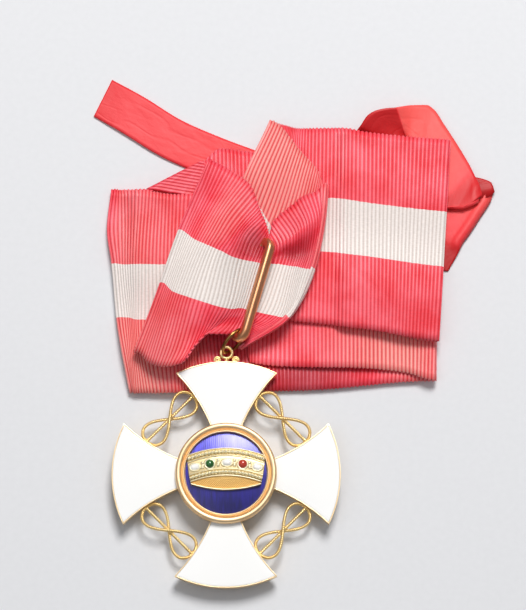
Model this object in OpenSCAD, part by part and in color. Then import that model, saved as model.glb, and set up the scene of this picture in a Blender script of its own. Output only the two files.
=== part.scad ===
// Neck badge of an order: an enamelled cross on a folded neck ribbon, lying on its back.
// X runs to the right, Y up the badge, Z up from the surface that it lies on. Millimetres.
// The origin is the centre of the flat back face of the cross.

/* [Cross] */
// Width of the cross from tip to tip of two opposite arms
cross_span = 52.2; // [48:0.2:58]
// Thickness of an arm
arm_thick = 2.4; // [1.8:0.1:3]
// Height of the boss on the back that holds the arms off the table
back_boss = 2.4; // [2.2:0.1:3.4]
// Half width of an arm where it meets the centre
arm_neck = 3.55; // [3:0.05:4.5]
// Half width of an arm at its two points
arm_point = 11.6; // [10:0.1:13]
// Radius of the hollow curve along each side of an arm
arm_curve = 38; // [30:1:60]
// Width of the gold rim round the enamel of an arm
arm_rim = 0.35; // [0.3:0.05:0.8]
// Depth of the enamel in an arm
enamel_depth = 1.2; // [0.8:0.1:1.6]
// Clearance between set pieces
fit_gap = 0.1; // [0.05:0.05:0.2]

/* [Medallion] */
// Outside radius of the gold ring round the centre
ring_radius = 11.6; // [11:0.1:12.6]
// Width of that ring
ring_width = 2.2; // [1.8:0.1:2.6]
// Height of that ring above the arms
ring_height = 1.9; // [1.4:0.1:2.6]
// Height of the blue enamel's edge above the arms
centre_edge = 0.5; // [0.3:0.1:1]
// Rise of its dome
centre_dome = 0.9; // [0.5:0.1:1.2]
// Thickness of the relief of the crown
crown_relief = 0.7; // [0.5:0.05:1]
// Half width of the crown
crown_half = 8.4; // [7.5:0.1:8.5]
// Diameter of a bead on the crown
bead = 0.85; // [0.7:0.05:1]

/* [Wire knots] */
// Thickness of the twisted wire
wire = 0.65; // [0.5:0.05:0.9]
// Distance of a knot from the centre of the cross
knot_reach = 18.3; // [17:0.1:19.5]
// Greatest width of a knot's loops
knot_width = 5.2; // [4:0.1:6]

/* [Suspension] */
// Outside diameter of the eye on the top arm
eye_outer = 3.4; // [3.2:0.1:4]
// Thickness of the eye's wire
eye_wire = 0.8; // [0.6:0.05:1]
// Mean radius of the jump ring
link_radius = 3.4; // [3.2:0.1:3.8]
// Thickness of the jump ring's wire
link_wire = 0.8; // [0.6:0.05:0.9]
// Compass direction in which the jump ring leads away from the eye
link_turn = 54.5; // [48:0.5:60]
// Length of the ribbon loop outside
loop_len = 24.5; // [23:0.5:28]
// Distance between the middles of its two bars
loop_gap = 3.6; // [3.4:0.1:4.2]
// Thickness of its bars
loop_thick = 1.1; // [0.9:0.05:1.2]
// Width of its bars
loop_width = 2; // [1.6:0.1:2.4]
// Compass direction of the ribbon loop
loop_turn = 74; // [70:1:78]
// Roll of the ribbon loop about its length
loop_roll = 130; // [125:1:135]

/* [Ribbon] */
// Width of the neck ribbon
ribbon_w = 49; // [46:0.5:52]
// Thickness of the cloth
cloth = 1; // [1:0.05:1.1]
// Gap between folded layers
layer_gap = 0.2; // [0.15:0.05:0.3]
// Width of the tie tapes
tape_w = 10; // [8:0.5:12]

/* [Hidden] */

$fn = 64;
gold = "goldenrod";

// Heights of the cross
arm_under = back_boss;
arm_top = arm_under + arm_thick;
arm_mid = (arm_under + arm_top) / 2;
cross_r = cross_span / 2;
hub_inset = 0.5;
hub_r = ring_radius - hub_inset;
centre_r = ring_radius - ring_width - fit_gap;

// Side curve of an arm: from the neck on the ring to the point on the outer circle
neck_y = sqrt(pow(ring_radius, 2) - pow(arm_neck, 2));
point_y = sqrt(pow(cross_r, 2) - pow(arm_point, 2));
side = [arm_point - arm_neck, point_y - neck_y];
side_len = norm(side);
side_out = [side[1], -side[0]] / side_len;
side_centre = [arm_neck + arm_point, neck_y + point_y] / 2
    + side_out * sqrt(pow(arm_curve, 2) - pow(side_len / 2, 2));

// Dome of the blue enamel
dome_low = arm_top + centre_edge;
dome_r = (pow(centre_r, 2) + pow(centre_dome, 2)) / (2 * centre_dome);
function dome_z(p) = dome_low + centre_dome - dome_r + sqrt(pow(dome_r, 2) - p * p);

// The knot's half length, out to where its ends bite into the sides of the arms
knot_bite = wire / 4;
knot_from = knot_reach * [sin(45), cos(45)] - side_centre;
knot_dir = [-sin(45), cos(45)];
knot_dot = knot_from * knot_dir;
knot_half = -knot_dot + sqrt(knot_dot * knot_dot - knot_from * knot_from + pow(arm_curve, 2)) - knot_bite;

// The chain of the suspension: eye, jump ring, ribbon loop. The eye stands off the arm by its foot, and a
// little above the arm's middle. The jump ring has room inside the loop's end.
eye_foot = 0.6;
eye_lift = 0.1;
link_play = 1.05;
eye_r = (eye_outer - eye_wire) / 2;
eye_y = cross_r + eye_outer / 2 + eye_foot;
layer = cloth + layer_gap;
roll_up = abs(sin(loop_roll));
roll_flat = abs(cos(loop_roll));
bar_drop = (loop_thick * roll_up + loop_width * roll_flat) / 2;
loop_z = 4 * layer + bar_drop + loop_gap / 2 * roll_up;
eye_z = arm_mid + eye_lift;
link_rise = loop_z - eye_z;
link_run = sqrt(pow(2 * link_radius, 2) - pow(link_rise, 2));
link_way = [cos(link_turn), sin(link_turn)];
link_inset = loop_thick + link_play + link_wire / 2;
loop_way = [cos(loop_turn), sin(loop_turn)];
loop_xy = [0, eye_y] + link_run * link_way + (loop_len / 2 - link_inset) * loop_way;

// Points along the ribbon. Each row is one line across it, from its upper edge to its lower edge, either as
// those two points or as four, with the two borders of the white stripe between them. A point is
// [x, y, layer], where x and y are in widths of the ribbon from the middle of the ribbon loop. A point with
// two layers is a fold: the cloth comes in on the first layer and goes back on the second.
stripe = [0.363, 0.637];
ribbon_rows = [
    [[0.48, 0.78, 2], [0.46, -0.14, 2]],
    [[0.955, 0.75, 2, 3], [0.885, -0.23, 2.2, 3.2]],
    [[0.57, 0.785, 3], [0.55, -0.175, 3]],
    [[0.455, 0.805, 3], [0.435, -0.16, 3]],
    [[0.39, 0.815, 2], [0.37, -0.145, 2]],
    [[0.23, 0.815, 2], [0.18, -0.125, 2]],
    [[0.15, 0.83, 2], [-0.02, -0.11, 2]],
    [[0.07, 0.85, 2, 3], [-0.07, 0.53, 2, 3], [-0.13, 0.27, 2, 3], [-0.15, -0.09, 2, 3]],
    [[0.225, 0.695, 3], [0.115, 0.32, 3], [-0.01, 0.075, 3], [-0.09, -0.13, 3]],
    [[0.31, 0.59, 3], [0.22, 0.2, 3], [0.09, -0.04, 3], [0, -0.185, 3]],
    [[0.365, 0.515, 3, 4.5], [0.3, 0.1, 3, 6], [0.165, -0.13, 3, 6], [0.005, -0.295, 3, 4.2]],
    [[0.3, 0.475, 4.8], [0.235, 0.105, 6], [0.1, -0.13, 6], [-0.03, -0.27, 4.6]],
    [[0.225, 0.42, 5], [0.205, 0.115, 5.4], [0.08, -0.125, 5.6], [-0.02, -0.245, 4.9]],
    [[0.165, 0.345, 5], [0.17, 0.125, 4.8], [0.055, -0.115, 4.9], [-0.015, -0.21, 4.9]],
    [[0.125, 0.275, 4.8], [0.125, 0.135, 4.7], [0.02, -0.105, 4.8], [-0.015, -0.18, 4.8]],
    [[0.105, 0.225, 4.8], [0.09, 0.135, 4.7], [0.005, -0.1, 4.8], [-0.02, -0.165, 4.8]],
    [[0.088, 0.2, 4.8], [0.065, 0.13, 4.8], [-0.005, -0.095, 4.8], [-0.03, -0.155, 4.8]],
    [[0.06, 0.2, 5.7], [0.035, 0.13, 5.7], [-0.03, -0.09, 5.7], [-0.05, -0.15, 5.7]],
    [[0.035, 0.205, 6.6], [0.01, 0.135, 6.6], [-0.06, -0.09, 6.6], [-0.08, -0.145, 6.6]],
    [[0.028, 0.25, 6.8], [-0.03, 0.14, 6.8], [-0.09, -0.1, 6.8], [-0.12, -0.165, 6.6]],
    [[0.015, 0.32, 6.6], [-0.08, 0.15, 6.9], [-0.135, -0.095, 7], [-0.19, -0.21, 6.5]],
    [[-0.01, 0.42, 6.3], [-0.15, 0.18, 7.2], [-0.22, -0.07, 7.4], [-0.27, -0.28, 5.8]],
    [[-0.035, 0.5, 5.9], [-0.21, 0.205, 7.4], [-0.3, -0.045, 7.5], [-0.37, -0.32, 4.8]],
    [[-0.105, 0.575, 5.5], [-0.28, 0.24, 7.1], [-0.375, -0.015, 7.2], [-0.48, -0.345, 4.1]],
    [[-0.22, 0.64, 5.3, 4.2], [-0.36, 0.295, 6.3, 4], [-0.445, 0.04, 6.2, 3.2], [-0.565, -0.28, 3.7, 2]],
    [[-0.185, 0.595, 4.3], [-0.28, 0.235, 4], [-0.31, -0.03, 3.3], [-0.38, -0.28, 2.1]],
    [[-0.15, 0.56, 4.2, 3.1], [-0.2, 0.18, 3.8, 2.6], [-0.205, -0.1, 3.2, 2], [-0.2, -0.28, 2.2, 1.1]],
    [[-0.37, 0.465, 3], [-0.37, 0.14, 2.4], [-0.345, -0.12, 1.2], [-0.33, -0.47, 1]],
    [[-0.53, 0.5, 3], [-0.545, 0.14, 2.2], [-0.545, -0.12, 1.2], [-0.5, -0.47, 1]],
    [[-0.625, 0.51, 1.4], [-0.615, 0.145, 1.2], [-0.59, -0.11, 1.1], [-0.56, -0.47, 1]],
    [[-0.705, 0.505, 1, 0], [-0.68, 0.15, 1, 0], [-0.655, -0.11, 1, 0], [-0.59, -0.465, 1, 0]],
    [[0.225, 0.55, 0], [0.225, -0.455, 0]],
    [[0.895, 0.585, 0, 1], [0.885, 0.225, 0, 1], [0.88, -0.045, 0, 1], [0.87, -0.41, 0, 1.4]],
    [[0.73, 0.615, 1], [0.715, -0.37, 1]],
    [[0.5, 0.635, 1], [0.49, -0.35, 1]],
    [[0.225, 0.675, 1], [0.225, -0.345, 1]],
    [[-0.015, 0.7, 1], [-0.015, -0.32, 1]],
    [[-0.05, 0.705, 1], [-0.03, -0.18, 1]],
    [[-0.155, 0.72, 1], [-0.145, 0, 1]],
    [[-0.515, 0.515, 1], [-0.535, 0.1, 1]]
];

// The turned corner of the ribbon's end, on layer 2, in widths of the ribbon from the middle of the loop
corner_outline = [[-0.165, 0.71], [-0.505, 0.505], [-0.3, 0.42]];

// Lines across the tapes: [x, y, compass direction across it, share of its width seen from above, layers].
// The layers are those of its outer edge, its middle and its inner edge; three more make a fold. x and y are
// as for the ribbon.
tape_left_rows = [
    [-0.725, 0.985, 65, 1, [0, 0, 0]],
    [-0.58, 0.9, 58, 1, [0.3, 0.3, 0.3]],
    [-0.39, 0.78, 62, 1, [0.2, 0.2, 0.2]],
    [-0.2, 0.695, 63, 1, [0, 0, 0]],
    [-0.03, 0.63, 60, 1, [0, 0, 0]]
];
tape_right_rows = [
    [0.61, 0.67, 180, 1, [0.5, 0.5, 0.5]],
    [0.62, 0.79, 172, 1, [0.8, 0.7, 0.6]],
    [0.665, 0.825, 138, 0.95, [3, 1.1, 0.6]],
    [0.715, 0.82, 116, 0.8, [4.6, 1.2, 0.6]],
    [0.765, 0.825, 90, 0.9, [4.2, 1.4, 0.6]],
    [0.82, 0.825, 72, 0.95, [3.8, 1.5, 0.6]],
    [0.87, 0.76, 62, 0.95, [2.6, 0.9, 0.6]],
    [0.915, 0.69, 52, 0.85, [0.8, 0.8, 0.8]],
    [0.965, 0.61, 34, 0.64, [2.2, 1.2, 0.9]],
    [0.985, 0.565, 33, 0.64, [2.5, 1.7, 1]],
    [1.005, 0.515, 32, 0.68, [2.6, 2.4, 2]],
    [1.015, 0.435, 22, 0.74, [2.3, 2.3, 2.1], [1.1, 1.1, 1.1]],
    [1.055, 0.52, -35, 0.55, [1.1, 1.1, 1.1]],
    [1.105, 0.56, -50, 0.7, [1.1, 1.1, 1.1], [0, 0, 0]],
    [1.02, 0.4, -28, 0.65, [0, 0, 0]],
    [0.965, 0.25, -30, 0.45, [0, 0, 0]],
    [0.935, 0.18, -35, 0.3, [0, 0, 0]]
];

// Height of the middle of the cloth on a layer. Above layer 4 the count reaches the loop's middle at
// loop_level.
loop_level = 5.7;
stack_top = cloth / 2 + 4 * layer;
function layer_z(h) = h <= 4 ? cloth / 2 + h * layer
    : stack_top + (h - 4) / (loop_level - 4) * (loop_z - stack_top);

// A smooth curve through values v at shares s of the way across, read at share w. It never swings past them.
function slope_at(v, s, i) = let(
        b = max(i, 1),
        a = min(i, len(v) - 2),
        before = (v[b] - v[b - 1]) / (s[b] - s[b - 1]),
        after = (v[a + 1] - v[a]) / (s[a + 1] - s[a]))
    before * after <= 0 ? 0 : 2 * before * after / (before + after);
function curve(v, s, w) = let(
        i = w >= 1 ? len(s) - 2 : [for (k = [0:len(s) - 2]) if (w >= s[k] && w < s[k + 1]) k][0],
        h = s[i + 1] - s[i],
        t = (w - s[i]) / h,
        a = slope_at(v, s, i) * h,
        b = slope_at(v, s, i + 1) * h,
        d = v[i + 1] - v[i])
    v[i] + t * a + t * t * (3 * d - 2 * a - b) + t * t * t * (a + b - 2 * d);
function blend(p, s, w) = [for (k = [0:2]) curve([for (q = p) q[k]], s, w)];
function shares(n) = n == 4 ? [0, stripe[0], stripe[1], 1] : [for (i = [0:n - 1]) i / (n - 1)];
function unit(v) = v / norm(v);

// Lines of points: each row in place, with a fold turned into an arc of lines round its outer edge
function at(row, k) = [for (q = row) [q[0], q[1], layer_z(len(q) > k ? q[k] : q[2])]];
function row_line(pts, cols) = [for (j = [0:cols]) blend(pts, shares(len(pts)), j / cols)];
function fold_out(here, before) = let(
        across = unit([for (k = [0:1]) here[len(here) - 1][k] - here[0][k]]),
        mid = (here[0] + here[len(here) - 1]) / 2,
        back = (before[0] + before[len(before) - 1]) / 2,
        way = [across[1], -across[0]],
        ahead = way[0] * (mid[0] - back[0]) + way[1] * (mid[1] - back[1]))
    ahead < 0 ? -way : way;
fold_steps = [-90, -45, 0, 45, 90];
function fold_lines(low, high, out) = [for (a = fold_steps) [for (j = [0:len(low) - 1]) let(
        r = abs(high[j][2] - low[j][2]) / 2,
        pull = cloth / 2 + r * (1 - cos(a)),
        z = (high[j][2] + low[j][2]) / 2 + (high[j][2] - low[j][2]) / 2 * sin(a))
    [low[j][0] - out[0] * pull, low[j][1] - out[1] * pull, z]]];
function strip(rows, cols) = [for (i = [0:len(rows) - 1]) let(
        here = row_line(at(rows[i], 2), cols),
        there = row_line(at(rows[i], 3), cols),
        folded = len(rows[i][0]) > 3,
        before = row_line(at(rows[max(i - 1, 0)], 2), cols))
    each folded ? fold_lines(here, there, fold_out(here, before)) : [here]];

// Direction out of the cloth at point j of line i
function face_normal(g, i, j) = let(
        i0 = max(i - 1, 0),
        i1 = min(i + 1, len(g) - 1),
        j0 = max(j - 1, 0),
        j1 = min(j + 1, len(g[0]) - 1))
    unit(cross(g[i1][j] - g[i0][j], g[i][j1] - g[i][j0]));

// A closed wall of cloth about a grid of points
module cloth_wall(g) {
    n = len(g);
    m = len(g[0]);
    outer = [for (i = [0:n - 1]) for (j = [0:m - 1]) g[i][j] + face_normal(g, i, j) * cloth / 2];
    inner = [for (i = [0:n - 1]) for (j = [0:m - 1]) g[i][j] - face_normal(g, i, j) * cloth / 2];
    low = n * m;
    skin = [for (i = [0:n - 2]) for (j = [0:m - 2]) let(a = i * m + j, b = a + 1, c = a + m, d = c + 1)
        each [[a, b, c], [b, d, c], [low + a, low + c, low + b], [low + b, low + c, low + d]]];
    ends = [for (j = [0:m - 2]) let(a = j, c = (n - 1) * m + j)
        each [[a, low + a, a + 1], [a + 1, low + a, low + a + 1],
            [c, c + 1, low + c], [c + 1, low + c + 1, low + c]]];
    edges = [for (i = [0:n - 2]) let(a = i * m, c = i * m + m - 1)
        each [[a, a + m, low + a], [a + m, low + a + m, low + a],
            [c, low + c, c + m], [c + m, low + c, low + c + m]]];
    polyhedron(points = concat(outer, inner), faces = concat(skin, ends, edges), convexity = 10);
}

function in_place(rows) = [for (row = rows) [for (q = row)
    concat([loop_xy[0] + q[0] * ribbon_w, loop_xy[1] + q[1] * ribbon_w], [for (k = [2:len(q) - 1]) q[k]])]];
function tape_lines(rows) = [for (r = rows) let(
        mid = loop_xy + [r[0], r[1]] * ribbon_w,
        half = tape_w / 2 * r[3] * [cos(r[2]), sin(r[2])])
    [for (i = [0:2]) concat(mid + (1 - i) * half, [for (k = [4:len(r) - 1]) r[k][i]])]];

// Outline of one arm pointing up, drawn in by a margin on every side
module arm_body(low, high, margin) {
    translate([0, 0, low]) difference() {
        intersection() {
            cylinder(r = cross_r - margin, h = high - low, $fn = 180);
            linear_extrude(high - low) polygon([[-arm_neck, 0], [arm_neck, 0], [arm_neck, neck_y],
                [arm_point + side[0], point_y + side[1]], [-arm_point - side[0], point_y + side[1]],
                [-arm_neck, neck_y]]);
        }
        for (s = [-1, 1]) translate([s * side_centre[0], side_centre[1], -1])
            cylinder(r = arm_curve + margin, h = high - low + 2, $fn = 180);
    }
}

// White enamel of the top arm, inside its rim and up to the centre's ring
module arm_enamel() {
    color("white") difference() {
        arm_body(arm_top - enamel_depth + fit_gap, arm_top, arm_rim + fit_gap);
        translate([0, 0, arm_under]) cylinder(r = ring_radius - arm_rim, h = arm_thick + 1);
    }
}

// One knot between two arms: a figure of eight of round wire with a straight wire along it
module wire_knot() {
    loop_r = knot_width / 2;
    loop_x = knot_half - loop_r;
    lean = asin(loop_r / loop_x);
    reach = sqrt(pow(loop_x, 2) - pow(loop_r, 2));
    rotate([0, 0, -45]) translate([0, knot_reach, arm_mid]) {
        for (s = [0, 180]) rotate([0, 0, s]) translate([loop_x, 0, 0]) rotate([0, 0, -90 - lean])
            rotate_extrude(angle = 180 + 2 * lean) translate([loop_r, 0]) circle(d = wire, $fn = 16);
        for (s = [-1, 1]) rotate([0, 0, s * lean]) rotate([0, 90, 0])
            cylinder(d = wire, h = 2 * reach, center = true, $fn = 16);
        rotate([0, 90, 0]) cylinder(d = wire, h = 2 * knot_half, center = true, $fn = 16);
    }
}

// Gilt body: hub, arms, eye and knots soldered into one
module cross_frame() {
    color(gold) {
        cylinder(r = hub_r, h = arm_top);
        for (a = [0:90:270]) rotate([0, 0, a]) {
            difference() {
                arm_body(arm_under, arm_top, 0);
                difference() {
                    arm_body(arm_top - enamel_depth, arm_top + 1, arm_rim);
                    cylinder(r = hub_r - arm_rim, h = arm_top + 2);
                }
            }
            wire_knot();
        }
        eye();
    }
}

// Eye on the top arm, on a small foot between two scrolls. The scrolls stand clear of the eye and sink into
// the arm's end.
scroll_r = 0.75;
scroll_clear = 0.2;
scroll_sink = 0.1;
module eye() {
    translate([0, eye_y, eye_z]) rotate_extrude() translate([eye_r, 0]) circle(d = eye_wire, $fn = 20);
    scroll_x = eye_r + scroll_r + scroll_clear;
    for (s = [-1, 1]) translate([s * scroll_x, cross_r + scroll_r - scroll_sink, eye_z])
        rotate_extrude() translate([scroll_r - eye_wire / 4, 0]) circle(d = eye_wire / 2, $fn = 20);
    foot = cross_r - arm_rim;
    translate([-eye_r - scroll_r, foot, eye_z - eye_wire / 4])
        cube([2 * (eye_r + scroll_r), scroll_r, eye_wire / 2]);
    translate([-eye_wire / 2, foot, eye_z - eye_wire / 4])
        cube([eye_wire, eye_y - eye_r - foot, eye_wire / 2]);
}

// Gold ring round the centre: a broad round band, a groove and a thin inner line. The first two are shares of
// the ring's width, the other two of its height.
band_share = 0.36;
line_share = 0.2;
groove_height = 0.5;
line_height = 0.75;
module medallion_rim() {
    band = ring_width * band_share;
    line = ring_width * line_share;
    inner = ring_radius - ring_width;
    color(gold) translate([0, 0, arm_top + fit_gap]) rotate_extrude($fn = 120) {
        translate([inner, 0]) square([ring_width - band, ring_height * groove_height]);
        translate([ring_radius - 2 * band, 0]) square([2 * band, ring_height - band]);
        translate([ring_radius - band, ring_height - band]) circle(r = band);
        translate([inner, 0]) square([line, ring_height * line_height]);
    }
}

// Blue enamel of the centre, domed
module medallion_enamel() {
    color("mediumblue") rotate_extrude($fn = 120) intersection() {
        translate([0, arm_top + fit_gap]) square([centre_r, ring_height]);
        translate([0, dome_low + centre_dome - dome_r]) circle(r = dome_r, $fn = 720);
    }
}

// Bands of the crown: [rise of its middle, sag at its ends, half its height]
top_band = [4.6, 1.6, 0.85];
gem_band = [2.2, 1.4, 1.45];
low_band = [0.3, 1.6, 0.75];
gem_relief = 0.7 * crown_relief;
inside_relief = 0.5 * crown_relief;
function arc_radius(b) = (pow(crown_half, 2) + pow(b[1], 2)) / (2 * b[1]);
module band_shape(b) {
    r = arc_radius(b);
    translate([0, b[0] - r]) difference() {
        circle(r = r + b[2], $fn = 120);
        circle(r = r - b[2], $fn = 120);
    }
}

// A block up to a height above the dome, cut to the crown's width
module on_dome(rise) {
    room = 6;
    difference() {
        intersection() {
            linear_extrude(dome_low + room) children();
            translate([0, 0, dome_low + centre_dome - dome_r]) sphere(r = dome_r + rise, $fn = 120);
            translate([0, 0, dome_low]) cube([2 * crown_half, 3 * crown_half, 2 * room], center = true);
        }
        translate([0, 0, dome_low + centre_dome - dome_r]) sphere(r = dome_r + fit_gap, $fn = 120);
    }
}

// Beads along a band
beads = 19;
module bead_row(b) {
    r = arc_radius(b);
    reach = asin((crown_half - bead) / r);
    for (i = [0:beads - 1]) let(
            a = -reach + 2 * reach * i / (beads - 1),
            x = r * sin(a),
            y = b[0] - r + r * cos(a))
        translate([x, y, dome_z(norm([x, y])) + crown_relief]) sphere(d = bead, $fn = 16);
}

// Crown in relief: two beaded bands, the band of stones, and its inside seen below them
module crown() {
    inside_low = 4;
    inside_sag = 1.8;
    inside_r = (pow(crown_half, 2) + pow(inside_sag, 2)) / (2 * inside_sag);
    color(gold) {
        on_dome(crown_relief) band_shape(top_band);
        on_dome(gem_relief) band_shape(gem_band);
        on_dome(crown_relief) band_shape(low_band);
        on_dome(inside_relief) intersection() {
            translate([0, low_band[0] - arc_radius(low_band)]) circle(r = arc_radius(low_band), $fn = 120);
            translate([0, inside_r - inside_low]) circle(r = inside_r, $fn = 120);
        }
        bead_row(top_band);
        bead_row(low_band);
    }
}

// Places of the stones along their band, in half widths of the crown, and the turn of the two end pearls
pearl_at = [-0.845, 0.024, 0.845];
green_at = -0.44;
red_at = 0.452;
pearl_turn = 18;

// Seat of a stone on the band: its place, and the height of the band there
function seat(share) = let(
        x = share * crown_half,
        r = arc_radius(gem_band),
        y = gem_band[0] - r + sqrt(r * r - x * x))
    [x, y, dome_z(norm([x, y])) + gem_relief + fit_gap];

// What is kept of a stone: all above the flat that it is cut off at
stone_cut = 0.2;
module above_cut(size) {
    translate([-size / 2, -size / 2, stone_cut]) cube(size);
}

// A long pearl lying on the band, flat below
module pearl(share, turn) {
    pearl_r = 0.8;
    pearl_len = 2.2;
    color("white") translate(seat(share)) rotate([0, 0, turn]) intersection() {
        union() {
            rotate([0, 90, 0]) cylinder(r = pearl_r, h = pearl_len - 2 * pearl_r, center = true, $fn = 32);
            for (s = [-1, 1]) translate([s * (pearl_len / 2 - pearl_r), 0, 0]) sphere(r = pearl_r, $fn = 32);
        }
        above_cut(2 * pearl_len);
    }
}

// A round drop of coloured enamel, flat below
module drop(share, tint) {
    drop_r = 1.05;
    color(tint) translate(seat(share)) intersection() {
        sphere(r = drop_r, $fn = 40);
        above_cut(4 * drop_r);
    }
}

// Jump ring from the eye to the ribbon loop, leaning over to the left
link_lean = [-0.3, 0.05, 0.95];
module jump_ring() {
    chord = unit([link_run * link_way[0], link_run * link_way[1], link_rise]);
    axis = unit(cross(chord, link_lean));
    color(gold) translate([0, eye_y, eye_z] + chord * link_radius)
        rotate([0, acos(axis[2]), atan2(axis[1], axis[0])])
        rotate_extrude() translate([link_radius, 0]) circle(d = link_wire, $fn = 20);
}

// Long loop for the ribbon: two straight bars and round ends
module ribbon_loop() {
    straight = loop_len - loop_gap - loop_thick;
    color(gold) translate([loop_xy[0], loop_xy[1], loop_z]) rotate([loop_roll, 0, loop_turn])
        linear_extrude(loop_width, center = true) difference() {
            slot(straight, loop_gap + loop_thick);
            slot(straight, loop_gap - loop_thick);
        }
}
module slot(straight, width) {
    square([straight, width], center = true);
    for (s = [-1, 1]) translate([s * straight / 2, 0]) circle(d = width, $fn = 48);
}

// Neck ribbon, with thirteen points across it
module neck_ribbon() {
    color("crimson") cloth_wall(strip(in_place(ribbon_rows), 12));
}

// Corner of the ribbon's end, turned over: one more thickness of cloth on layer 2
module turned_corner() {
    color("crimson") translate([loop_xy[0], loop_xy[1], 2 * layer])
        linear_extrude(cloth) polygon([for (p = corner_outline) p * ribbon_w]);
}

// A tie tape along its lines, with five points across it
module tie_tape(rows) {
    color("red") cloth_wall(strip(tape_lines(rows), 4));
}

cross_frame();
arm_enamel();  // arm_enamel_top
rotate([0, 0, -90]) arm_enamel();  // arm_enamel_right
rotate([0, 0, 180]) arm_enamel();  // arm_enamel_bottom
rotate([0, 0, 90]) arm_enamel();  // arm_enamel_left
medallion_rim();
medallion_enamel();
crown();
pearl(pearl_at[0], pearl_turn);  // pearl_left
pearl(pearl_at[1], 0);  // pearl_middle
pearl(pearl_at[2], -pearl_turn);  // pearl_right
drop(green_at, "green");  // green_drop
drop(red_at, "red");  // red_drop
jump_ring();
ribbon_loop();
neck_ribbon();
turned_corner();
tie_tape(tape_left_rows);  // tie_tape_left
tie_tape(tape_right_rows);  // tie_tape_right
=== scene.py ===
import math

import bpy
import numpy as np
from mathutils import Matrix, Vector


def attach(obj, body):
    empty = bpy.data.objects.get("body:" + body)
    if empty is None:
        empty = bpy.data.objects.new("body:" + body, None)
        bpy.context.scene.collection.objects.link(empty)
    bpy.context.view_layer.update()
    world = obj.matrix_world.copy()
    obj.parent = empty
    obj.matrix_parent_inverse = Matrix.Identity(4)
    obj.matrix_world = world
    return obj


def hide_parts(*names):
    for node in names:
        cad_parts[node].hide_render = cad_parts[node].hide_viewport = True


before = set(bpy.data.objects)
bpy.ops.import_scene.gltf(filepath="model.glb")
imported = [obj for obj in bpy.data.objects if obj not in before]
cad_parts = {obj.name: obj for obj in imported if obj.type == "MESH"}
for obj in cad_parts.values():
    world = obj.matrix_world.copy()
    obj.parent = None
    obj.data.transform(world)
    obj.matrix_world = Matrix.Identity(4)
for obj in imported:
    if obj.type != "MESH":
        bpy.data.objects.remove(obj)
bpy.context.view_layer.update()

# Gilt body of the cross. The real one is struck brass, gilded and polished: a round hub and four flared arms,
# each a shallow tray with a thin raised rim that holds the enamel. Every tray is one grid laid over the arm's
# outline, thickened, inset and sunk; it is modelled once and turned three times.
MM = 0.001
CROSS_R = 26.1 * MM
HUB_R = 11.1 * MM
ARM_UNDER, ARM_TOP = 2.4 * MM, 4.8 * MM
ARM_INNER = 9.6 * MM
ARM_RIM = 0.22 * MM
RIM_ROUND, HUB_ROUND = 0.1 * MM, 0.25 * MM
ENAMEL_DEPTH = 1.2 * MM
SIDE_CURVE = 38 * MM
SIDE_CENTRE = (38.796 * MM, -3.16 * MM)
TURNS = {"top": 0, "right": -90, "bottom": 180, "left": 90}


def colour(code):
    parts = [int(code[k:k + 2], 16) / 255 for k in (0, 2, 4)]
    return [c / 12.92 if c <= 0.04045 else ((c + 0.055) / 1.055) ** 2.4 for c in parts] + [1.0]


def add_node(material, kind, settings=None, inputs=None):
    tree = material.node_tree
    made = tree.nodes.new("ShaderNode" + kind)
    for name, value in (settings or {}).items():
        setattr(made, name, value)
    for name, value in (inputs or {}).items():
        if isinstance(value, bpy.types.NodeSocket):
            tree.links.new(value, made.inputs[name])
        else:
            made.inputs[name].default_value = value
    return made


def start_material(name, finish):
    material = bpy.data.materials.new(name)
    material.use_nodes = True
    shader = material.node_tree.nodes["Principled BSDF"]
    for socket, value in finish.items():
        shader.inputs[socket].default_value = value
    return material, shader


def feed(material, shader, socket, output):
    material.node_tree.links.new(output, shader.inputs[socket])


def noise(material, place, scale, detail=2.0):
    """A noise pattern with so many features to the metre, or to the unit of a map."""
    inputs = {"Vector": place, "Scale": scale, "Detail": detail}
    return add_node(material, "TexNoise", inputs=inputs).outputs[0]


def mixed(material, share, first, second):
    """A mix of two colours, each a hex code or an output."""
    first, second = (colour(c) if isinstance(c, str) else c for c in (first, second))
    return add_node(material, "Mix", {"data_type": "RGBA"}, {"Factor": share, 6: first, 7: second}).outputs[2]


def feed_bump(material, shader, height, strength, depth):
    bump = add_node(material, "Bump", inputs={"Strength": strength, "Distance": depth, "Height": height})
    feed(material, shader, "Normal", bump.outputs["Normal"])


def polished_gilding(name, light, dark, roughness):
    # Thin gold over brass: warm yellow, a little darker in patches, with fine polishing marks.
    material, shader = start_material(name, {"Metallic": 1.0, "Roughness": roughness})
    place = add_node(material, "TexCoord").outputs["Object"]
    feed(material, shader, "Base Color", mixed(material, noise(material, place, 260, 3), light, dark))
    feed_bump(material, shader, noise(material, place, 2600), strength=0.12, depth=0.04 * MM)
    return material


GILDING = polished_gilding("polished gilding", "FBE6C0", "EDCB94", 0.32)


def select_only(piece):
    bpy.ops.object.select_all(action="DESELECT")
    piece.select_set(True)
    bpy.context.view_layer.objects.active = piece


def round_edges(piece, width, degrees):
    """Edges sharper than an angle are rounded over a width."""
    select_only(piece)
    bevel = piece.modifiers.new("bevel", "BEVEL")
    bevel.width, bevel.segments = width, 3
    bevel.limit_method, bevel.angle_limit = "ANGLE", math.radians(degrees)
    bpy.ops.object.modifier_apply(modifier=bevel.name)


def finish_piece(piece, name, material, slot, *nodes):
    select_only(piece)
    bpy.ops.object.transform_apply(location=True, rotation=True, scale=True)
    piece.name = name
    piece.data.materials.clear()
    piece.data.materials.append(material)
    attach(piece, "root")
    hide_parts(*nodes)


def join(pieces):
    bpy.ops.object.select_all(action="DESELECT")
    for piece in pieces:
        piece.select_set(True)
    bpy.context.view_layer.objects.active = pieces[0]
    bpy.ops.object.join()
    return pieces[0]


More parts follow.
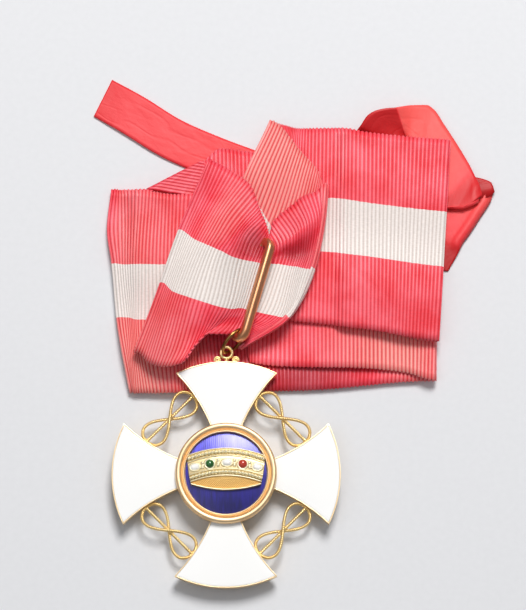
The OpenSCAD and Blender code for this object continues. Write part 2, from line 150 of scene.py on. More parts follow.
def turned_copy(piece, degrees):
    made = piece.copy()
    made.data = piece.data.copy()
    bpy.context.scene.collection.objects.link(made)
    made.data.transform(Matrix.Rotation(math.radians(degrees), 4, "Z"))
    return made


def arm_side(y, margin):
    return SIDE_CENTRE[0] - math.sqrt((SIDE_CURVE + margin) ** 2 - (y - SIDE_CENTRE[1]) ** 2)


def arm_grid(margin, inner, height):
    """A grid over the outline of the top arm, drawn in by a margin, from a radius out to its curved end."""
    outer = CROSS_R - margin
    low, high = inner, outer
    for _ in range(40):
        middle = (low + high) / 2
        inside = arm_side(middle, margin) ** 2 + middle ** 2 < outer ** 2
        low, high = (middle, high) if inside else (low, middle)
    corner_y, corner_x = low, arm_side(low, margin)
    bpy.ops.object.select_all(action="DESELECT")
    bpy.ops.mesh.primitive_grid_add(x_subdivisions=28, y_subdivisions=36, size=2)
    arm = bpy.context.object
    for v in arm.data.vertices:
        across, along = v.co.x, (v.co.y + 1) / 2
        y = inner + along * (corner_y - inner)
        end_y = math.sqrt(outer ** 2 - (across * corner_x) ** 2)
        v.co = (across * arm_side(y, margin), y + along ** 2 * (end_y - corner_y), height)
    return arm


arm = arm_grid(0, ARM_INNER, ARM_TOP)
bpy.ops.object.mode_set(mode="EDIT")
bpy.ops.mesh.select_all(action="SELECT")
bpy.ops.mesh.extrude_region_move(TRANSFORM_OT_translate={"value": (0, 0, ARM_UNDER - ARM_TOP)})
bpy.ops.mesh.select_all(action="SELECT")
bpy.ops.mesh.normals_make_consistent(inside=False)
bpy.ops.mesh.select_mode(type="FACE")
bpy.ops.mesh.select_all(action="DESELECT")
bpy.ops.object.mode_set(mode="OBJECT")
for face in arm.data.polygons:
    face.select = face.normal.z > 0.9
bpy.ops.object.mode_set(mode="EDIT")
bpy.ops.mesh.inset(thickness=ARM_RIM, use_even_offset=True)
bpy.ops.mesh.extrude_region_move(TRANSFORM_OT_translate={"value": (0, 0, -ENAMEL_DEPTH)})
bpy.ops.object.mode_set(mode="OBJECT")
round_edges(arm, RIM_ROUND, 40)
bpy.ops.mesh.primitive_cylinder_add(vertices=120, radius=HUB_R, depth=ARM_TOP, location=(0, 0, ARM_TOP / 2))
hub = bpy.context.object
round_edges(hub, HUB_ROUND, 40)
body = join([hub, arm] + [turned_copy(arm, turn) for turn in (90, 180, -90)])
bpy.ops.object.shade_smooth_by_angle(angle=math.radians(35))
finish_piece(body, "cross_body", GILDING, "gilt_metal", "cross_frame")

# White enamel of the arms. The real one is opaque glass, fired in several coats and stoned nearly flat, with
# its edge drawn down a little where it meets the metal. Each field is the tray's grid drawn in, thickened,
# with a rounded edge.
FIELD_GAP = 0.03 * MM
FIELD_CROWN = 0.16 * MM
FIELD_ROUND = 0.14 * MM
FIELD_END = 2.7 * MM
white_enamel, shader = start_material("white fired enamel", {
    "Roughness": 0.07, "IOR": 1.52, "Coat Weight": 0.5, "Coat Roughness": 0.03})
place = add_node(white_enamel, "TexCoord").outputs["Object"]
milk = mixed(white_enamel, noise(white_enamel, place, 90, 3), "FFFFFE", "FAFAF8")
feed(white_enamel, shader, "Base Color", milk)
feed_bump(white_enamel, shader, noise(white_enamel, place, 420, 1), strength=0.08, depth=0.1 * MM)

field = arm_grid(ARM_RIM + FIELD_GAP, ARM_INNER, ARM_TOP)
for v in field.data.vertices:
    across = v.co.x / arm_side(min(v.co.y, CROSS_R - FIELD_END), ARM_RIM)
    along = (v.co.y - ARM_INNER) / (CROSS_R - ARM_INNER)
    v.co.z += FIELD_CROWN * max(0, 1 - across ** 2) * math.sin(math.pi * min(1, along) ** 0.8) ** 0.5
bpy.ops.object.mode_set(mode="EDIT")
bpy.ops.mesh.select_all(action="SELECT")
bpy.ops.mesh.extrude_region_move(TRANSFORM_OT_translate={"value": (0, 0, -ENAMEL_DEPTH)})
bpy.ops.mesh.select_all(action="SELECT")
bpy.ops.mesh.normals_make_consistent(inside=False)
bpy.ops.object.mode_set(mode="OBJECT")
round_edges(field, FIELD_ROUND, 50)
bpy.ops.object.shade_smooth_by_angle(angle=math.radians(40))
fields = {side: turned_copy(field, turn) for side, turn in TURNS.items()}
bpy.data.objects.remove(field)
for side, piece in fields.items():
    finish_piece(piece, "white_enamel_" + side, white_enamel, "white_enamel", "arm_enamel_" + side)

# Wire knots between the arms. Each is a figure of eight of gilt wire, twisted like a cord, with a straight
# twisted wire through both loops, all soldered where they cross. The wires are curves with a two-lobed
# section that turns along them, made into meshes.
WIRE = 0.86 * MM
WIRE_WAIST = 0.76
STRAND_SIDES = 12
KNOT_REACH = 18.3 * MM
KNOT_HALF = 7.5 * MM
KNOT_LOOP = 2.45 * MM
WIRE_Z = 3.6 * MM
TWIST_PITCH = 0.62 * MM
CROSSING_RISE = 0.62
EIGHT_RUN = 37.5 * MM
BAR_TWIST = 1.7
EIGHT_STEPS, BAR_STEPS = 640, 280
CORD_GOLD = polished_gilding("gilt wire", "FFEBB0", "FAD288", 0.34)


def closed_section(points):
    """A closed outline to be swept along a wire."""
    curve = bpy.data.curves.new("section", "CURVE")
    spline = curve.splines.new("POLY")
    spline.points.add(len(points) - 1)
    for point, (x, y) in zip(spline.points, points):
        point.co = (x, y, 0, 1)
    spline.use_cyclic_u = True
    section = bpy.data.objects.new("section", curve)
    bpy.context.scene.collection.objects.link(section)
    return section


def two_strands():
    """The outline of two strands lying side by side."""
    points = []
    for k in range(STRAND_SIDES):
        a = 2 * math.pi * k / STRAND_SIDES
        r = WIRE / 2 * max(abs(math.cos(a)), WIRE_WAIST)
        points.append((r * math.cos(a), r * math.sin(a)))
    return points


def wire_piece(points, closed, section=None, radius=0, turns=0):
    """A wire along points: round, or with a section that turns as it goes."""
    curve = bpy.data.curves.new("wire", "CURVE")
    curve.dimensions = "3D"
    curve.twist_mode = "Z_UP"
    curve.use_fill_caps = True
    if section:
        curve.bevel_mode = "OBJECT"
        curve.bevel_object = section
    else:
        curve.bevel_depth = radius
        curve.bevel_resolution = 3
    spline = curve.splines.new("POLY")
    spline.points.add(len(points) - 1)
    for k, p in enumerate(points):
        spline.points[k].co = (*p, 1)
        spline.points[k].tilt = 2 * math.pi * turns * k / (len(points) if closed else len(points) - 1)
    spline.use_cyclic_u = closed
    wire = bpy.data.objects.new("wire", curve)
    bpy.context.scene.collection.objects.link(wire)
    select_only(wire)
    bpy.ops.object.convert(target="MESH")
    return bpy.context.object


def turn_faces_out():
    bpy.ops.object.mode_set(mode="EDIT")
    bpy.ops.mesh.select_all(action="SELECT")
    bpy.ops.mesh.normals_make_consistent(inside=False)
    bpy.ops.object.mode_set(mode="OBJECT")


section = closed_section(two_strands())
eight = []
for k in range(EIGHT_STEPS):
    t = 2 * math.pi * k / EIGHT_STEPS
    width = KNOT_LOOP * (1 + math.sin(t) ** 2 / 4)
    eight.append((KNOT_HALF * math.cos(t), width * math.sin(2 * t), WIRE * CROSSING_RISE * math.sin(t)))
eight_wire = wire_piece(eight, True, section, turns=round(EIGHT_RUN / TWIST_PITCH))
bar = [(KNOT_HALF * (2 * k / BAR_STEPS - 1), 0, 0) for k in range(BAR_STEPS + 1)]
bar_wire = wire_piece(bar, False, section, turns=round(2 * KNOT_HALF / (BAR_TWIST * TWIST_PITCH)))
knot = join([eight_wire, bar_wire])
knot.data.transform(Matrix.Translation((0, KNOT_REACH, WIRE_Z)))
turn_faces_out()
bpy.ops.object.shade_smooth()
for corner, turn in {"upper_right": -45, "lower_right": -135, "lower_left": 135, "upper_left": 45}.items():
    finish_piece(turned_copy(knot, turn), "wire_knot_" + corner, CORD_GOLD, "gilt_metal", "cross_frame")
bpy.data.objects.remove(knot)
bpy.data.objects.remove(section)

# Eye of the cross. A turned ring of gilt wire stands on a small foot between two scrolls, soldered to the end
# of the top arm.
EYE_Y, EYE_Z = 28.4 * MM, 3.7 * MM
EYE_R, EYE_WIRE = 1.3 * MM, 0.4 * MM
SCROLL_X, SCROLL_Y = 2.05 * MM, 26.72 * MM
SCROLL_R, SCROLL_GROWTH = 0.2, 0.62
SCROLL_TURN, SCROLL_STEPS = 3.6 * math.pi, 59
FOOT_HALF, FOOT_Y, FOOT_BOW = 2.4, 25.95 * MM, 0.05 * MM
STEM_Y = (25.9, 26.3, 26.8, 27.2)
SCROLL_WIRE, FOOT_WIRE, STEM_WIRE = 0.2 * MM, 0.3 * MM, 0.42 * MM
bpy.ops.object.select_all(action="DESELECT")
bpy.ops.mesh.primitive_torus_add(major_radius=EYE_R, minor_radius=EYE_WIRE, major_segments=48,
                                 minor_segments=16, location=(0, EYE_Y, EYE_Z))
parts = [bpy.context.object]
for side in (-1, 1):
    scroll = []
    for k in range(SCROLL_STEPS + 1):
        a = SCROLL_TURN * k / SCROLL_STEPS
        r = (SCROLL_R + SCROLL_GROWTH * (k / SCROLL_STEPS) ** 1.3) * MM
        scroll.append((side * (SCROLL_X - r * math.sin(a)), SCROLL_Y - r * math.cos(a), EYE_Z))
    parts.append(wire_piece(scroll, False, radius=SCROLL_WIRE))
foot = [(x * MM, FOOT_Y + FOOT_BOW * abs(x), EYE_Z) for x in np.linspace(-FOOT_HALF, FOOT_HALF, 13)]
parts.append(wire_piece(foot, False, radius=FOOT_WIRE))
parts.append(wire_piece([(0, y * MM, EYE_Z) for y in STEM_Y], False, radius=STEM_WIRE))
eye = join(parts)
bpy.ops.object.shade_smooth()
finish_piece(eye, "suspension_eye", CORD_GOLD, "gilt_metal", "cross_frame")

# Ring round the centre: turned and polished gilt brass with a broad round band, a groove and a narrow band
# inside it. Its profile, radius and height above the arms in mm, is spun once round the axis.
RING_PROFILE = [(9.42, 0.1), (9.42, 1.2), (9.48, 1.36), (9.6, 1.44), (9.74, 1.4), (9.84, 1.24), (9.9, 0.95),
                (10.0, 0.85), (10.12, 0.9), (10.22, 1.2), (10.32, 1.55), (10.46, 1.74), (10.66, 1.83),
                (10.9, 1.87), (11.12, 1.85), (11.3, 1.76), (11.44, 1.58), (11.54, 1.32), (11.6, 1.0),
                (11.6, 0.3), (11.5, 0.1)]
bpy.ops.object.select_all(action="DESELECT")
bpy.ops.mesh.primitive_circle_add(vertices=len(RING_PROFILE), radius=1, fill_type="NOTHING")
ring = bpy.context.object
for v, (r, z) in zip(ring.data.vertices, RING_PROFILE):
    v.co = (r * MM, 0, ARM_TOP + z * MM)
bpy.ops.object.mode_set(mode="EDIT")
bpy.ops.mesh.select_all(action="SELECT")
bpy.ops.mesh.spin(steps=180, angle=2 * math.pi, center=(0, 0, 0), axis=(0, 0, 1))
bpy.ops.mesh.select_all(action="SELECT")
bpy.ops.mesh.remove_doubles(threshold=0.001 * MM)
bpy.ops.mesh.normals_make_consistent(inside=False)
bpy.ops.object.mode_set(mode="OBJECT")
bpy.ops.object.shade_smooth_by_angle(angle=math.radians(60))
ROSE_GILDING = polished_gilding("warm polished gilding", "F8DEB8", "EFCB99", 0.48)
finish_piece(ring, "medallion_ring", ROSE_GILDING, "gilt_metal", "medallion_rim")

# Blue enamel of the centre. The real one is clear blue glass over metal engraved with fine upright lines, so
# the ground glitters in stripes under a smooth wet face. The solid keeps its shape: only its finish is made
# here. The lines are drawn a little coarser than real ones, so that they show.
LINE_PITCH, LINE_WANDER = 0.45 * MM, 0.5 * MM
CENTRE_HALF = 9 * MM


def remap(material, value, old, new=(0.0, 1.0), kind="LINEAR"):
    """A value taken from one range to another."""
    return add_node(material, "MapRange", {"interpolation_type": kind},
                    {"Value": value, "From Min": old[0], "From Max": old[1],
                     "To Min": new[0], "To Max": new[1]}).outputs[0]


def stretched(material, place, scale, turn=0.0):
    return add_node(material, "Mapping",
                    inputs={"Vector": place, "Scale": scale, "Rotation": (0, 0, turn)}).outputs[0]


def shaded(material, tone, share):
    return add_node(material, "VectorMath", {"operation": "SCALE"}, {0: tone, "Scale": share}).outputs[0]


def finish_solid(name, material):
    """The frame's own solid keeps its shape and takes this finish."""
    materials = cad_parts[name].data.materials
    materials.clear()
    materials.append(material)


blue_enamel, shader = start_material("clear blue enamel over engraved metal", {
    "Metallic": 0.5, "Roughness": 0.42, "Coat Weight": 1.0, "Coat Roughness": 0.27, "Coat IOR": 1.5})
place = add_node(blue_enamel, "TexCoord").outputs["Object"]
wander = add_node(blue_enamel, "TexNoise", inputs={"Vector": place, "Scale": 160.0})
warped = add_node(blue_enamel, "VectorMath", {"operation": "MULTIPLY_ADD"},
                  {0: wander.outputs["Color"], 1: (LINE_WANDER, 0.0, 0.0), 2: place})
lines = add_node(blue_enamel, "TexWave", {"wave_type": "BANDS", "bands_direction": "X"},
                 {"Vector": warped.outputs[0], "Scale": 2 * math.pi / (20 * LINE_PITCH), "Distortion": 0.0})
# painted highlight: the blue is lighter towards the top, where the light lies on the domed glass
up = add_node(blue_enamel, "SeparateXYZ", inputs={0: place}).outputs["Y"]
tones = add_node(blue_enamel, "ValToRGB", inputs={0: remap(blue_enamel, up, (-CENTRE_HALF, CENTRE_HALF))})
ramp = tones.color_ramp.elements
ramp[0].color, ramp[0].position = colour("160F6E"), 0.1
ramp[1].color, ramp[1].position = colour("5450C8"), 0.95
ramp.new(0.5).color = colour("251C98")
# painted glints: streaks of brighter and darker blue stand in for the engraved ground glittering under the
# glass
painted_glints = noise(blue_enamel, stretched(blue_enamel, place, (1.0, 0.06, 1.0)), 1500, 4)
painted_glints = remap(blue_enamel, painted_glints, (0.35, 0.75), (0.72, 1.55))
feed(blue_enamel, shader, "Base Color", shaded(blue_enamel, tones.outputs[0], painted_glints))
feed_bump(blue_enamel, shader, lines.outputs[0], strength=0.5, depth=0.06 * MM)
finish_solid("medallion_enamel", blue_enamel)

# Crown in relief, cast and gilt: two rows of beads between thin lines, a band for the stones with a lip round
# each, and its hatched inside below. A fine grid is laid on the dome and raised by the height of the relief.
DOME_LOW, DOME_RISE, DOME_EDGE = 5.3 * MM, 0.9 * MM, 9.3 * MM
DOME_R = (DOME_EDGE ** 2 + DOME_RISE ** 2) / (2 * DOME_RISE)
# the crown's own measures are in mm: its outline first, with half widths at shares of its height
CROWN_ARC, CROWN_TOP = 22.6, 5.78
CROWN_FOOT, FOOT_CURVE = -4.15, 48
CROWN_SHARES = (0, 0.3, 0.75, 0.92, 1)
CROWN_HALVES = (7.95, 8.45, 8.85, 8.85, 8.6)
CROWN_GRID = (320, 170)
# what is raised: level of its ground, rise above it, half width
THIN_LINE, LOW_LINE, BEAD = (0.3, 0.34, 0.17), (0.3, 0.4, 0.2), (0.3, 0.85, 0.45)
STONE_LIP, DOT, OVAL = (0.35, 0.35, 0.2), (0.35, 0.4, 0.36), (0.33, 0.2, 0.8)
# where: heights on the arched bands; stones as place and half sizes
LINES = {5.6: THIN_LINE, 3.93: THIN_LINE, 0.9: THIN_LINE, -0.68: LOW_LINE}
BEAD_ROWS, BEADS, BEAD_REACH, BEAD_FLARE = (4.78, 0.1), 23, 8.35, 0.03
STONE_BAND, INSIDE_TOP = 2.3, -0.9
STONES = [(-7.1, 1.21, 1.15, 0.85), (-3.7, 1.93, 1.1, 1.1), (0.2, 2.2, 1.2, 0.85), (3.8, 1.92, 1.1, 1.1),
          (7.1, 1.21, 1.15, 0.85)]
ORNAMENTS, DOT_ROWS, OVAL_SLIMNESS = (-5.35, -1.8, 1.95, 5.4), (1.72, 2.82), 1.6
HATCH_X, HATCH_Y, HATCH_RISE = 0.42, 0.5, 0.08
FOOT_LINE = 0.24


def dome_z(x, y):
    return DOME_LOW + DOME_RISE - DOME_R + np.sqrt(DOME_R ** 2 - (x ** 2 + y ** 2) * MM ** 2)


def ridge(distance, half):
    return np.sqrt(np.clip(1 - (distance / half) ** 2, 0, 1))


def add_raised(band, distance, shape):
    ground, rise, half = shape
    return np.maximum(band, ground + rise * ridge(distance, half))


def crown_foot(x):
    return CROWN_FOOT + x ** 2 / FOOT_CURVE


def crown_height(x, y):
    """Height of the relief above the dome, in mm, at places in mm, and where the hatched inside is."""
    rise = y + x ** 2 / (2 * CROWN_ARC)
    band = 0.3 + 0.12 * ridge(np.clip(np.abs(rise - STONE_BAND) - 1.0, 0, None), 0.6)
    for level, shape in LINES.items():
        band = add_raised(band, rise - level, shape)
    for level in BEAD_ROWS:
        reach = BEAD_REACH + BEAD_FLARE * level
        spots = np.linspace(-reach, reach, BEADS)
        near = spots[np.clip(np.rint((x + reach) / (2 * reach) * (BEADS - 1)), 0, BEADS - 1).astype(int)]
        band = add_raised(band, np.hypot(x - near, rise - level), BEAD)
    for centre_x, centre_y, half_x, half_y in STONES:
        away = np.hypot((x - centre_x) / half_x, (y - centre_y) / half_y)
        band = add_raised(band, away - 1.0, STONE_LIP)
    for centre_x in ORNAMENTS:
        for level in DOT_ROWS:
            band = add_raised(band, np.hypot(x - centre_x, rise - level), DOT)
        band = add_raised(band, np.hypot((x - centre_x) * OVAL_SLIMNESS, rise - STONE_BAND), OVAL)
    floor = crown_foot(x)
    weave = np.sin(2 * math.pi * x / HATCH_X) * np.sin(2 * math.pi * y / HATCH_Y)
    inside = add_raised(0.2 + HATCH_RISE * weave + 0.12 * (y - floor) / 3, y - floor - FOOT_LINE,
                        (0.2, 0.4, FOOT_LINE))
    low = rise < INSIDE_TOP
    return np.where(low, inside, band), low & (y - floor > 0.45)


bpy.ops.object.select_all(action="DESELECT")
bpy.ops.mesh.primitive_grid_add(x_subdivisions=CROWN_GRID[0], y_subdivisions=CROWN_GRID[1], size=2)
crown = bpy.context.object
flat = np.zeros(len(crown.data.vertices) * 3)
crown.data.vertices.foreach_get("co", flat)
flat = flat.reshape(-1, 3)
across, up = flat[:, 0], (flat[:, 1] + 1) / 2
crown_x = across * np.interp(up, CROWN_SHARES, CROWN_HALVES)
crown_low = crown_foot(crown_x)
crown_high = CROWN_TOP - crown_x ** 2 / (2 * CROWN_ARC)
crown_y = crown_low + up * (crown_high - crown_low)
edge = np.maximum(np.abs(across), np.abs(2 * up - 1)) > 0.9999
relief, hollow = crown_height(crown_x, crown_y)
# the sides stand higher than the middle, and the edge is sunk in the dome
raised = np.where(edge, -0.08, relief + (0.15 + 0.4 * across ** 2))
flat = np.stack([crown_x * MM, crown_y * MM, dome_z(crown_x, crown_y) + raised * MM], 1)
crown.data.vertices.foreach_set("co", flat.ravel())
crown.data.update()
corners = np.zeros(len(crown.data.loops), int)
crown.data.loops.foreach_get("vertex_index", corners)
relief_map = crown.data.uv_layers.new(name="relief")
relief_map.data.foreach_set("uv", np.stack([relief, hollow], 1)[corners].ravel())
bpy.ops.object.mode_set(mode="EDIT")
bpy.ops.mesh.select_mode(type="EDGE")
bpy.ops.mesh.select_all(action="DESELECT")
bpy.ops.mesh.select_non_manifold()
bpy.ops.mesh.edge_face_add()
bpy.ops.mesh.select_all(action="SELECT")
bpy.ops.mesh.normals_make_consistent(inside=False)
bpy.ops.object.mode_set(mode="OBJECT")
bpy.ops.object.shade_smooth()


def read_map(material, layer):
    """A UV layer and its two parts, by which a shape tells its material where something is."""
    uv = add_node(material, "UVMap", {"uv_map": layer}).outputs[0]
    parts = add_node(material, "SeparateXYZ", inputs={0: uv}).outputs
    return uv, parts["X"], parts["Y"]


# cast gilding with painted highlights on what stands out and painted shade in the hollows; warmer on the
# hatched inside, with painted shade in its grooves
cast_gilding, shader = start_material("cast gilding with painted highlights and shade", {"Metallic": 0.7, "Roughness": 0.36})
_, height, hollow = read_map(cast_gilding, "relief")
outside = mixed(cast_gilding, remap(cast_gilding, height, (0.3, 0.72)), "B59858", "FFF8DA")
within = mixed(cast_gilding, remap(cast_gilding, height, (0.12, 0.4)), "DA9A40", "FFDC92")
feed(cast_gilding, shader, "Base Color", mixed(cast_gilding, hollow, outside, within))
finish_piece(crown, "crown_relief", cast_gilding, "gilt_metal", "crown")

# Stones of the crown: long drops of white enamel for pearls, and one green and one red drop, fired round and
# glossy. The solids have the right shape and keep it.
DROPS = {"pearl_left": ("FFFFFF", "F6F2EA"), "pearl_middle": ("FFFFFF", "F6F2EA"),
         "pearl_right": ("FFFFFF", "F6F2EA"), "green_drop": ("24722C", "0F4218"),
         "red_drop": ("D9452F", "A02414")}
for name, (light, dark) in DROPS.items():
    glass, shader = start_material("fired drop " + name, {
        "Roughness": 0.08, "IOR": 1.55, "Coat Weight": 1.0, "Coat Roughness": 0.03})
    place = add_node(glass, "TexCoord").outputs["Object"]
    feed(glass, shader, "Base Color", mixed(glass, noise(glass, place, 700), light, dark))
    finish_solid(name, glass)

# Jump ring and ribbon loop. The ring is bent from round gold wire, and the loop from gold bar with softly
# filed edges. The ring's solid is kept; the loop is the bar's section swept round a long path.
# the jump ring is coloured a darker, browner gold than the rest of the gilding
DARK_GOLD = polished_gilding("darker gold wire", "B98C52", "7E5430", 0.3)
finish_solid("jump_ring", DARK_GOLD)
LOOP_PLACE = (6.044, 42.449)
LOOP_Z = 7.243
LOOP_STRAIGHT, LOOP_END = 19.8 * MM, 1.8 * MM
LOOP_TURN, LOOP_ROLL = math.radians(74), math.radians(130)
BAR_HALF, BAR_ROUND = (1.05 * MM, 1.1 * MM), 0.75 * MM
ROUND_STEPS, END_STEPS = 5, 32
outline = []
for quarter, (side_x, side_y) in enumerate(((1, 1), (-1, 1), (-1, -1), (1, -1))):
    for k in range(ROUND_STEPS + 1):
        a = math.pi / 2 * (quarter + k / ROUND_STEPS)
        outline.append((side_x * (BAR_HALF[0] - BAR_ROUND) + BAR_ROUND * math.cos(a),
                        side_y * (BAR_HALF[1] - BAR_ROUND) + BAR_ROUND * math.sin(a)))
bar_section = closed_section(outline)
path = []
for end, start in ((1, -90), (-1, 90)):
    for k in range(END_STEPS + 1):
        a = math.radians(start + 180 * k / END_STEPS)
        path.append((end * LOOP_STRAIGHT / 2 + LOOP_END * math.cos(a), LOOP_END * math.sin(a), 0))
loop = wire_piece(path, True, bar_section)
bpy.data.objects.remove(bar_section)
loop.data.transform(Matrix.Translation((LOOP_PLACE[0] * MM, LOOP_PLACE[1] * MM, LOOP_Z * MM))
                    @ Matrix.Rotation(LOOP_TURN, 4, "Z") @ Matrix.Rotation(LOOP_ROLL, 4, "X"))
turn_faces_out()
bpy.ops.object.shade_smooth_by_angle(angle=math.radians(50))
LOOP_GOLD = polished_gilding("copper-toned gold", "F5B690", "D6905F", 0.4)
finish_piece(loop, "gold_ribbon_loop", LOOP_GOLD, "gilt_metal", "ribbon_loop")

# Neck ribbon. The real one is ribbed silk: red with a white middle stripe, thick weft cords one millimetre
# apart and scalloped selvedges, folded to and fro and gathered in the loop. Lines across it give its folds;
# smooth curves join them, and one long strip is laid along them with every cord raised. All in mm.
RIBBON_W, RIBBON_LENGTH = 49.0, 322.0
LAYER, CLOTH = 1.2, 1.0
LAID_LAYERS, LAYERS_TO_LOOP = 4, 1.7
FOLD_REACH = 0.9
SILK = 0.5
REST = -(CLOTH - SILK) / 2
RIB, RIB_RISE, SCALLOP = 0.95, 0.19, 0.3
RIBBON_COLUMNS = 33
STRIPE_MIDDLE, STRIPE_HALF = 0.503, (0.1355, 0.1385)
WAVES_FROM, WAVES_GROW = 12, 10
STRIPE = (0.363, 0.637)
RIBBON_SHARES = {2: (0, 1), 4: (0, *STRIPE, 1), 5: (0, 0.18, *STRIPE, 1), 6: (0, 0.18, 0.3, *STRIPE, 1),
                 7: (0, 0.18, 0.3, *STRIPE, 0.9, 1)}
